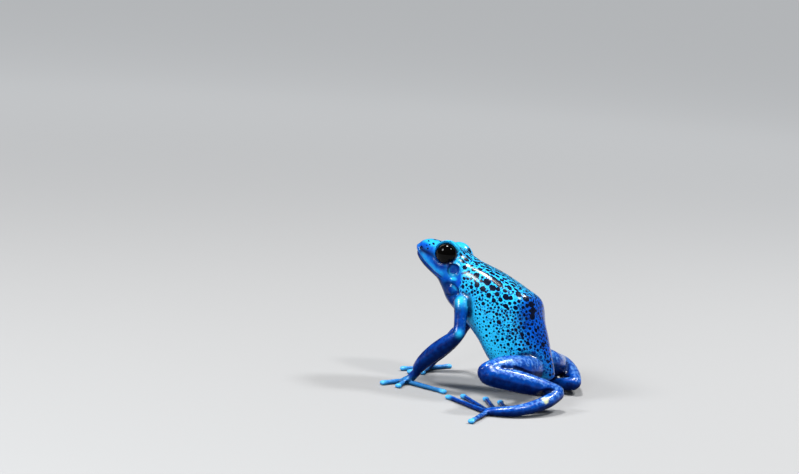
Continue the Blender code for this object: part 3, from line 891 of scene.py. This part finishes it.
def skinFinish():
    f = Finish("frog skin")
    colours = skinColours
    facts = patternFacts
    place = f.place()
    limb, pale, rump = f.attribute("limb"), f.attribute("pale"), f.attribute("rump")
    belly, under, upSide = f.attribute("belly"), f.attribute("under"), f.attribute("upSide")
    dark, glow, crease = f.attribute("dark"), f.attribute("glow"), f.attribute("crease")
    jaw, plain, cream = f.attribute("jaw"), f.attribute("plain"), f.attribute("cream")
    spots, size = f.attribute("spots"), f.attribute("size")

    # The net of bright cyan round the spots, with smaller dark cells between them.
    wobble = (f.noise(place, 1.6) - 0.5) * 1.1 + (f.noise(place, 4.0) - 0.5) * 0.7
    field = spots + wobble * (size * 0.5)
    spot = f.step(field, -0.02, 0.03, 1, 0)
    ring = f.step(field, 0.02, 0.06) * f.step(field, 0.10, 0.30, 1, 0)
    bent = f.node("ShaderNodeVectorMath", {"operation": "ADD"},
                  {0: place, 1: f.node("ShaderNodeVectorMath", {"operation": "SCALE"},
                                       {0: f.noise(place, 1.1, output=1), "Scale": 0.9})})
    patch = f.step(f.noise(place, 0.45), 0.36, 0.62)
    rearward = f.step(rump + (f.noise(place, 0.9, 3.0) - 0.5) * 0.5, 0.20, 1.05)
    high = f.step(upSide + (f.noise(place, 0.7) - 0.5) * 0.25, 0.40, 0.58)
    largeEdge = f.cells(bent, facts["largeCells"], "DISTANCE_TO_EDGE")
    smallEdge = f.cells(bent, facts["smallCells"], "DISTANCE_TO_EDGE")
    largeNet, smallNet = f.step(largeEdge, 0.03, 0.15, 1, 0), f.step(smallEdge, 0.05, 0.22, 1, 0)
    net = smallNet + (largeNet - smallNet) * high
    largeCell = f.step(largeEdge, 0.13, 0.21) * high * f.step(f.noise(place, 1.0), 0.34, 0.48)
    smallCell = f.step(smallEdge, 0.20, 0.32) * f.step(f.noise(place, 0.8), 0.36, 0.56) * (1 - high * 0.7)
    fine = (largeCell + smallCell * 0.7) * f.step(spots, 0.04, 0.12)
    base = f.mix(patch * 0.3 + (1 - high) * 0.5 + 0.1, colours["azure"], colours["cyan"])
    colour = f.mix(net * facts["net"], base, colours["cyan"])
    colour = f.mix(ring * facts["ring"], colour, colours["cyan"])
    # the rump's deeper blue, partly painted shade on the side facing back
    rumpColour = f.mix(patch * 0.5 + ring * 0.35, colours["rump"], colours["azure"])
    colour = f.mix(rearward, colour, rumpColour)
    # the belly's darker blue, partly painted shade
    colour = f.mix(belly * facts["belly"], colour, colours["belly"])
    spotColour = f.mix(f.step(size, 0.10, 0.22), colours["inkBlue"], colours["black"])
    colour = f.mix(fine.atMost(facts["cellDark"]), colour, colours["inkBlue"])
    colour = f.mix(spot, colour, spotColour)

    # The face is plain, limbs are deep blue, mottled, with a few dark flecks.
    mottle = f.step(f.noise(place, 0.8, 3.0), 0.35, 0.7)
    # painted light: upward faces of face and limbs drawn lighter
    lit = f.step(upSide, 0.66, 0.92)
    # painted light on the limb tops
    top = f.step(upSide + (f.noise(place, 1.5, 3.0) - 0.5) * 0.55, 0.93, 1.13)
    faceColour = f.mix(lit * 0.62 + mottle * (0.14 - lit * 0.06), colours["face"], colours["cyan"])
    # painted shade on the jaw and throat
    faceColour = f.mix(jaw * 0.94, faceColour, colours["shade"])
    faceSpot = spot * f.step(size, 0.34, 0.30)
    colour = f.mix(plain, colour, f.mix(faceSpot, faceColour, colours["black"]))
    # painted highlights and cyan patches
    colour = f.mix(glow * (1 - limb), colour, colours["cyan"])
    # limbs lighter where they face up, as painted light
    limbColour = f.mix(mottle * 0.45 + lit * 0.5, colours["limb"], colours["limbLight"])
    limbColour = f.mix(top * facts["limbTop"], limbColour, colours["limbTop"])
    fleck = f.step(f.cells(bent, 0.55), 0.10, 0.15, 1, 0)
    limbColour = f.mix(fleck * facts["fleck"], limbColour, colours["shade"])
    # painted shade on the limbs' undersides
    limbColour = f.mix(under * facts["underLimb"], limbColour, colours["shade"])
    # painted highlights and cyan patches on the limbs
    limbColour = f.mix(glow, limbColour, colours["cyan"])
    colour = f.mix(limb, colour, limbColour)
    # pale discs and fingers, less pale underneath as painted shade
    colour = f.mix(pale * (1 - under * 0.5), colour, colours["pale"])
    # painted shade in creases
    colour = f.mix(crease * facts["crease"], colour, colours["shade"])
    # painted shade of the mouth groove, nostrils, hollow before the eye, throat creases, eardrum rims and
    # lid edges, and the darker eardrums
    colour = f.mix(dark, colour, colours["shade"])
    colour = f.mix(cream, colour, colours["cream"])

    # A pebbled, moist surface.
    grain = f.cells(place, facts["pebbles"], "SMOOTH_F1") * (limb * 0.75 + 0.25)
    coarse = f.noise(place, 1.4, 3.0)
    bump = f.node("ShaderNodeBump", None, {"Strength": facts["bump"], "Distance": facts["bumpDeep"] * mm,
                                           "Height": grain + coarse * 0.4})
    rough = f.noise(place, 2.2) * 0.12 + 0.14
    wet = f.step(under, 0.42, 0.05) * f.step(f.noise(place, 2.0, 3.0), 0.36, 0.56, 0.4, 1.0)
    return f.finish(Base_Color=colour, Roughness=rough, Normal=bump, Specular_IOR_Level=facts["shine"],
                    Coat_Weight=wet, Coat_Roughness=facts["coatRough"])


skin.data.materials.clear()
skin.data.materials.append(skinFinish())
for face in skin.data.polygons:
    face.use_smooth = True


# The eyes.
eyeFacts = {
    "segments": (64, 48),
    "aim": (0.95, 0.30, 0.12),      # the way the left pupil looks
    "ring": (0.50, 0.60),           # cosines between which the thin bronze ring lies
    "dark": (0.0015, 0.0012, 0.001),
    "bronze": (0.10, 0.075, 0.05),
    "roughness": 0.06,
    "shine": 0.10,
}


def makeEye(name):
    side = 1 if name.startswith("left") else -1
    centre = middleOf(name)
    aim = Vector((side * eyeFacts["aim"][0], eyeFacts["aim"][1], eyeFacts["aim"][2])).normalized()
    bm = bmesh.new()
    turn = Vector((0, 0, 1)).rotation_difference(aim).to_matrix().to_4x4()
    around, along = eyeFacts["segments"]
    bmesh.ops.create_uvsphere(bm, u_segments=around, v_segments=along, radius=eyeRadius,
                              matrix=Matrix.Translation(centre) @ turn)
    mesh = bpy.data.meshes.new(name + "_ball")
    bm.to_mesh(mesh)
    bm.free()
    for face in mesh.polygons:
        face.use_smooth = True
    ball = bpy.data.objects.new(name + "_ball", mesh)
    bpy.context.scene.collection.objects.link(ball)
    looks = (readPoints(mesh) - np.array(centre)) @ np.array(aim) / eyeRadius
    writeValue(mesh, "looks", looks)
    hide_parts(name)
    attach(ball, "root")
    return ball


def eyeFinish():
    f = Finish("eye")
    looks = f.attribute("looks")
    low, high = eyeFacts["ring"]
    middle = (low + high) / 2
    ring = f.step(looks, low, middle) * f.step(looks, middle, high, 1, 0)
    worn = f.step(f.noise(f.place(), 0.7), 0.35, 0.65)
    return f.finish(Base_Color=f.mix(ring * worn, eyeFacts["dark"], eyeFacts["bronze"]),
                    Roughness=eyeFacts["roughness"], Specular_IOR_Level=eyeFacts["shine"])


eyeMaterial = eyeFinish()
for name in ("left_eye", "right_eye"):
    makeEye(name).data.materials.append(eyeMaterial)
print("eyes set")


# The studio.
studioFacts = {
    "floor": (0.34, 0.34, 0.34),
    "floorReach": 4,                    # m from the frog
    "floorRough": 0.7,
    "farFloor": (0.42, 0.43, 0.44),     # glow that keeps the floor pale beyond the lights' reach
    "farFrom": 600,                     # mm from the frog at which that is full
    "world": (0.70, 0.78, 0.90),
    "worldStrength": 0.09,
    # name: place in mm, size in mm, watts, colour and whether it shows in reflections
    "lights": {
        "overhead": ((-5, -56, 432), 84, 1.75, (1.0, 0.99, 0.98), True),
        "back": ((-215, 155, 340), 70, 1.1, (0.96, 0.98, 1.0), True),
        "rear": ((28, 212, 376), 60, 0.60, (1.0, 0.98, 0.97), True),
        "front": ((250, -215, 290), 120, 1.1, (0.96, 0.98, 1.0), True),
        "side": ((360, 60, 120), 140, 0.58, (0.88, 0.96, 1.0), False),
    },
}


def makeStudio():
    facts = studioFacts
    bm = bmesh.new()
    bmesh.ops.create_grid(bm, x_segments=1, y_segments=1, size=facts["floorReach"])
    mesh = bpy.data.meshes.new("floor")
    bm.to_mesh(mesh)
    bm.free()
    floor = bpy.data.objects.new("floor", mesh)
    bpy.context.scene.collection.objects.link(floor)
    f = Finish("pale floor")
    reach = f.node("ShaderNodeVectorMath", {"operation": "LENGTH"}, {0: f.place()}, 1)
    far = f.mix(f.step(reach, 0.0, facts["farFrom"]), (0.0, 0.0, 0.0), facts["farFloor"])
    mesh.materials.append(f.finish(Base_Color=(*facts["floor"], 1), Roughness=facts["floorRough"],
                                   Emission_Color=far, Emission_Strength=1.0))
    world = bpy.data.worlds.new("studio")
    world.use_nodes = True
    world.node_tree.nodes["Background"].inputs["Color"].default_value = (*facts["world"], 1)
    world.node_tree.nodes["Background"].inputs["Strength"].default_value = facts["worldStrength"]
    bpy.context.scene.world = world
    for name, (place, size, watts, colour, shows) in facts["lights"].items():
        data = bpy.data.lights.new(name, "AREA")
        data.shape = "DISK"
        data.size = size * mm
        data.energy = watts
        data.color = colour
        light = bpy.data.objects.new(name, data)
        light.location = Vector(place) * mm
        light.rotation_mode = "QUATERNION"
        light.rotation_quaternion = (Vector((0, 0, 15)) - Vector(place)).to_track_quat("-Z", "Y")
        light.visible_glossy = shows
        bpy.context.scene.collection.objects.link(light)
    bpy.context.scene.view_settings.view_transform = "Standard"


makeStudio()
print("studio set")
